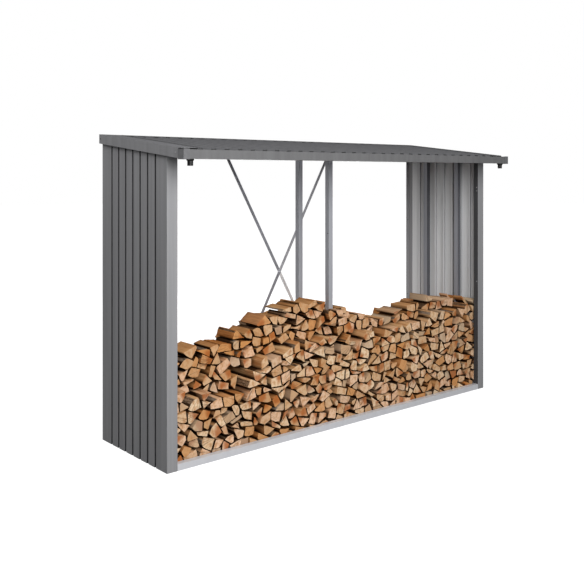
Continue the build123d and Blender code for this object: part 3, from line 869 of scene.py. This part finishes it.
def make_verge_hems(finish):
    """Dark rolled hem along the inner edge of each verge's top flange, painted dark as the shade line there.
    """
    shape = Shape()
    for side in SIDES:
        low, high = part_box(f"{side}_verge_trim")
        x = high.x if side == "left" else low.x
        direction = Vector((0, 1, roof_slope))
        place = (x, low.y, high.z - (high.y - low.y) * roof_slope)
        reach = direction.length * (high.y - low.y - VERGE_HEM_END)
        shape.turned(place, direction, ((VERGE_HEM, 0.0), (VERGE_HEM, reach)), sides=HEM_SIDES)
    shape.piece("verge_hems", finish, "roof_paint", smooth=True)


def make_verge_ends(finish):
    """Thin plate that closes the rear end of each verge."""
    shape = Shape()
    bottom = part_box("rear_trim")[0].z + VERGE_END_SHEET
    for side in SIDES:
        low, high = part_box(f"{side}_verge_trim")
        top = high.z - VERGE_END_SHEET
        rear = high.y - VERGE_END_SETBACK
        outline = rectangle(low.x + VERGE_END_SHEET, high.x - VERGE_END_SHEET, bottom, top)
        shape.block(outline, rear - VERGE_END_SHEET, rear)
    shape.piece("verge_end_plates", finish, "wall_paint")


def make_gutter_hem(finish):
    """Rolled hem along the gutter's rim."""
    shape = Shape()
    for side in SIDES:
        low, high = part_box(f"{side}_gutter")
        cap_low, cap_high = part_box(f"{side}_gutter_cap")
        start = cap_high.x if side == "left" else low.x
        end = high.x if side == "left" else cap_low.x
        place = (start, low.y + GUTTER_HEM + GUTTER_HEM_INSET, high.z - GUTTER_HEM)
        shape.turned(place, (1, 0, 0), ((GUTTER_HEM, 0.0), (GUTTER_HEM, end - start)), sides=HEM_SIDES)
    shape.piece("gutter_hem", finish, "wall_paint", smooth=True)


def make_gutter_seam(finish):
    """Sealing strip where the gutter's halves meet."""
    shape = Shape()
    low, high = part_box("left_gutter")
    outline = rectangle(high.x - SEAM_HALF, high.x + SEAM_HALF, low.z, high.z)
    shape.block(outline, low.y - SEAM_PROUD, low.y + SEAM_PROUD)
    shape.piece("gutter_seam", finish, "black_plastic")


def make_outlets(finish):
    """Ribbed, flanged spouts with an open bore, in place of the plain ones."""
    ridge = SPOUT_NECK + SPOUT_RIB
    for side in SIDES:
        low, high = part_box(f"{side}_outlet")
        flange = (high.x - low.x) / 2
        length = high.z - low.z
        profile = [(SPOUT_BORE, 0.0), (flange, 0.0), (flange, SPOUT_FLANGE)]
        profile.append((SPOUT_NECK + SPOUT_CONE, SPOUT_CONE_END))
        profile.append((SPOUT_NECK, SPOUT_NECK_START))
        for rib in range(SPOUT_RIBS):
            start = SPOUT_RIB_START + rib * SPOUT_RIB_PITCH
            for step, radius in enumerate((SPOUT_NECK, ridge, ridge, SPOUT_NECK)):
                profile.append((radius, start + step * SPOUT_RIB))
        profile.extend(((SPOUT_NECK, length), (SPOUT_BORE, length)))
        shape = Shape()
        place = ((low.x + high.x) / 2, (low.y + high.y) / 2, high.z)
        shape.turned(place, (0, 0, -1), profile, sides=SPOUT_SIDES, closed=True)
        piece = shape.piece(f"{side}_spout", finish, "black_plastic", smooth=True)
        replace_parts(piece, f"{side}_outlet")


def make_fixings(finishes):
    """Every small piece that the solids leave out, and the spouts."""
    make_screws(finishes["wall_paint"])
    make_bolts(finishes["bare_metal"])
    make_holes(finishes["black_plastic"])
    make_rib_closers(finishes["black_plastic"])
    make_verge_hems(finishes["groove_paint"])
    make_verge_ends(finishes["trim_paint"])
    make_gutter_hem(finishes["gutter_paint"])
    make_gutter_seam(finishes["black_plastic"])
    make_outlets(finishes["black_plastic"])


# Finishes on the metal and plastic nodes

def paint_faces(mesh, finish, chosen):
    """Another finish on the faces of a mesh that a test chooses."""
    index = len(mesh.materials)
    mesh.materials.append(finish)
    for face in mesh.polygons:
        if chosen(face):
            face.material_index = index


def paint_wall(mesh, finishes):
    """More finishes on a wall sheet: dark painted shade in its outer grooves and creases, its own paint on
    its inside, and lighter painted shade on the folds there.
    """
    skin = max(abs(vertex.co.x) for vertex in mesh.vertices)
    side = math.copysign(1, mesh.vertices[0].co.x)

    def outward(face):
        return face.normal.x * side

    def is_deep(face):
        return abs(face.center.x) < skin - GROOVE_DEPTH

    middles = [face.center.y for face in mesh.polygons if outward(face) > FACING and is_deep(face)]

    def is_inside(face):
        return outward(face) < -SIDE_FACING

    def is_fold(face):
        middle = min(middles, key=lambda y: abs(y - face.center.y))
        away = (middle - face.center.y) * face.normal.y < 0
        return abs(outward(face)) < SIDE_FACING and away

    paint_faces(mesh, finishes["groove_paint"], lambda face: outward(face) < SIDE_FACING or is_deep(face))
    paint_faces(mesh, finishes["inside_paint"], is_inside)
    paint_faces(mesh, finishes["fold_paint"], is_fold)


def paint_lip(mesh, finishes):
    """Painted shade: dark paint on a front post's face towards the opening."""
    inner = min(abs(vertex.co.x) for vertex in mesh.vertices)

    def is_lip(face):
        return abs(face.normal.x) > FACING and abs(face.center.x) < inner + LIP_REACH

    paint_faces(mesh, finishes["groove_paint"], is_lip)


def is_wall(node):
    return "_wall_" in node and node.endswith("_panel")


def paint_details(node, mesh, finishes):
    """Finishes on the faces of a node that differ from the rest of it."""
    if is_wall(node):
        paint_wall(mesh, finishes)
    elif node in ("left_front_post", "right_front_post"):
        paint_lip(mesh, finishes)
    elif node.endswith("_trim"):
        paint_faces(mesh, finishes["roof_paint"], lambda face: face.normal.z > FACING)
    elif node.startswith("roof_panel"):
        # Painted shade on the sides of the roof's ribs
        paint_faces(mesh, finishes["rib_flank_paint"], lambda face: abs(face.normal.x) > FLANK_FACING)
    elif node.endswith("_studs"):
        # Painted shade on the studs' sides that face the front and rear
        paint_faces(mesh, finishes["stud_side_metal"], lambda face: abs(face.normal.y) > FACING)


def main_finish(node):
    """Name of the finish on most of a node."""
    # The base rails' pale metal is made lighter as a painted reflection of the floor
    if node.startswith("base_"):
        return "sill_metal"
    if node.startswith("brace_"):
        return node.replace("brace_", "") + "_metal"
    if node.endswith("_studs"):
        return "stud_metal"
    # The gutter's paint is made darker as painted shade
    if node.endswith("_gutter"):
        return "gutter_paint"
    if node.endswith("_trim"):
        return "trim_paint"
    if is_wall(node):
        return "panel_paint"
    return slots[node]


def dress_nodes(finishes):
    """Finishes on every node but the logs, which are replaced."""
    for node, slot in slots.items():
        if slot == "firewood":
            continue
        mesh = nodes[node].data
        mesh.materials.clear()
        mesh.materials.append(finishes[main_finish(node)])
        paint_details(node, mesh, finishes)


# Stage, light and camera

def make_stage():
    """White floor that takes no shadow in the picture, with a darker patch under the logs."""
    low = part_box("base_left_rail")[0]
    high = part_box("base_right_rail")[1]
    outer = rectangle(-FLOOR_HALF, FLOOR_HALF, -FLOOR_HALF, FLOOR_HALF)
    inner = rectangle(low.x, high.x, low.y, high.y)
    around = [(0, 1, 5, 4), (1, 2, 6, 5), (2, 3, 7, 6), (3, 0, 4, 7)]
    patch = (4, 5, 6, 7)
    mesh = bpy.data.meshes.new("floor")
    mesh.from_pydata([(x, y, 0.0) for x, y in outer + inner], [], [*around, patch])
    floor = bpy.data.objects.new("floor", mesh)
    floor.location.z = -FLOOR_DROP
    bpy.context.scene.collection.objects.link(floor)
    finish = Finish("floor", Roughness=0.9, Base_Color=(0.18, 0.18, 0.18, 1.0), Specular_IOR_Level=0.0)
    seen = finish.add("ShaderNodeLightPath").outputs["Is Camera Ray"]
    glow = finish.add("ShaderNodeEmission", {"Color": (1.0, 1.0, 1.0, 1.0), "Strength": 1.0})
    both = finish.add("ShaderNodeAddShader", {0: finish.shader.outputs[0], 1: glow.outputs[0]})
    choice = finish.add("ShaderNodeMixShader", {0: seen, 1: finish.shader.outputs[0], 2: both.outputs[0]})
    finish.tree.links.new(choice.outputs[0], finish.tree.nodes["Material Output"].inputs["Surface"])
    dark = (0.1, 0.09, 0.08, 1.0)
    under = Finish("floor_under_logs", Roughness=0.9, Base_Color=dark, Specular_IOR_Level=0.0)
    mesh.materials.append(finish.material)
    mesh.materials.append(under.material)
    mesh.polygons[len(around)].material_index = 1


def make_world():
    """Even light all round, behind a background that the camera sees as white."""
    world = bpy.data.worlds.new("studio")
    world.use_nodes = True
    bpy.context.scene.world = world
    tree = world.node_tree
    light = tree.nodes["Background"]
    light.inputs["Color"].default_value = (1.0, 1.0, 1.0, 1.0)
    light.inputs["Strength"].default_value = WORLD_STRENGTH
    white = tree.nodes.new("ShaderNodeBackground")
    white.inputs["Color"].default_value = (1.0, 1.0, 1.0, 1.0)
    seen = tree.nodes.new("ShaderNodeLightPath")
    choice = tree.nodes.new("ShaderNodeMixShader")
    tree.links.new(seen.outputs["Is Camera Ray"], choice.inputs[0])
    tree.links.new(light.outputs[0], choice.inputs[1])
    tree.links.new(white.outputs[0], choice.inputs[2])
    tree.links.new(choice.outputs[0], tree.nodes["World Output"].inputs["Surface"])


def make_light(name, place, target, size, power):
    """Soft rectangular lamp that the camera doesn't see."""
    lamp = bpy.data.lights.new(name, "AREA")
    lamp.shape = "RECTANGLE"
    lamp.size, lamp.size_y = size
    lamp.energy = power
    piece = bpy.data.objects.new(name, lamp)
    piece.location = place
    piece.rotation_euler = (Vector(target) - Vector(place)).to_track_quat("-Z", "Y").to_euler()
    piece.visible_camera = False
    bpy.context.scene.collection.objects.link(piece)


def make_lights():
    """Key light at the front, and one each for the left side and the rear."""
    make_light("key_light", place=(-1.6, -4.1, 3.2), target=(0.0, -0.2, 0.8), size=(3.6, 3.6), power=285.0)
    make_light("left_light", place=(-4.3, 0.7, 4.4), target=(-1.5, 0.1, 1.2), size=(2.2, 2.2), power=80.0)
    make_light("rear_light", place=(3.6, 4.6, 2.2), target=(0.2, 0.4, 1.0), size=(3.0, 2.4), power=190.0)


def make_camera():
    """Camera level with the ground, with its picture shifted so that upright edges stay upright."""
    lens = bpy.data.cameras.new("camera")
    lens.sensor_width = SENSOR
    lens.lens = FOCAL_PIXELS / PICTURE_SIZE * SENSOR
    lens.shift_y = (HORIZON_PIXEL - PICTURE_SIZE / 2) / PICTURE_SIZE
    camera = bpy.data.objects.new("camera", lens)
    camera.location = CAMERA_PLACE
    camera.rotation_euler = (math.radians(90), 0.0, -math.radians(CAMERA_HEADING))
    bpy.context.scene.collection.objects.link(camera)
    bpy.context.scene.camera = camera
    bpy.context.scene.view_settings.view_transform = "Standard"


finishes = make_finishes()
dress_nodes(finishes)
make_fixings(finishes)
make_firewood()
make_stage()
make_world()
make_lights()
make_camera()
